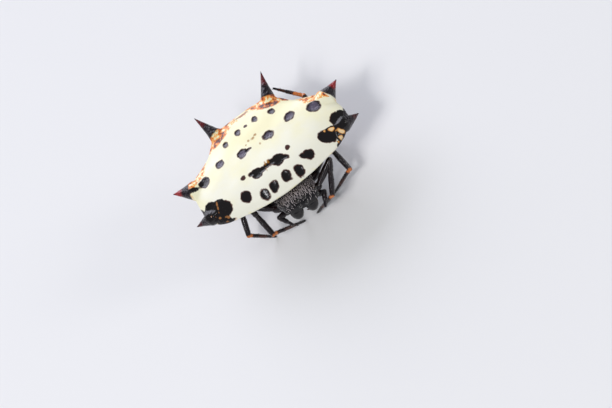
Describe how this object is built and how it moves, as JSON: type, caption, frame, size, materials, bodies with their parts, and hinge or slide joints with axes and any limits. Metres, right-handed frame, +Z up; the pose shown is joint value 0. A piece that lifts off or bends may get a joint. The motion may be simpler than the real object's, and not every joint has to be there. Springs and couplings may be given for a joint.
{
  "type": "spiny orb weaver spider",
  "caption": "Life-size still model of a spiny orb weaver: a broad white plate with dark pits and long side spines over a small black head, jaws, palps and bent legs.",
  "frame": {"origin": "on the floor, under the middle of the model's bounding box", "axes": "+X to the spider's left, -Y towards its head, +Z up; it stands on seven of its feet"},
  "size_m": [0.013, 0.0092, 0.0054],
  "materials": {
    "plate": "creamy white enamel with glossy black pits and black spines that turn dark red",
    "carapace": "black, under short greyish white hairs",
    "jaws": "glossy black",
    "palps": "glossy black brown",
    "legs": "glossy black brown with orange rings at the joints",
    "eyes": "clear dark gloss",
    "waist": "dark brown",
    "spinnerets": "dark brown"
  },
  "bodies": {
    "root": {"abdomen": "plate", "spinnerets": "spinnerets", "pedicel": "waist", "cephalothorax": "carapace", "chelicera_left": "jaws", "chelicera_right": "jaws", "palp_left": "palps", "palp_right": "palps", "leg_1_left": "legs", "leg_1_right": "legs", "leg_2_left": "legs", "leg_2_right": "legs", "leg_3_left": "legs", "leg_3_right": "legs", "leg_4_left": "legs", "leg_4_right": "legs", "eye_front_middle_left": "eyes", "eye_front_middle_right": "eyes", "eye_rear_middle_left": "eyes", "eye_rear_middle_right": "eyes", "eye_front_side_left": "eyes", "eye_front_side_right": "eyes", "eye_rear_side_left": "eyes", "eye_rear_side_right": "eyes"}
  },
  "joints": []
}
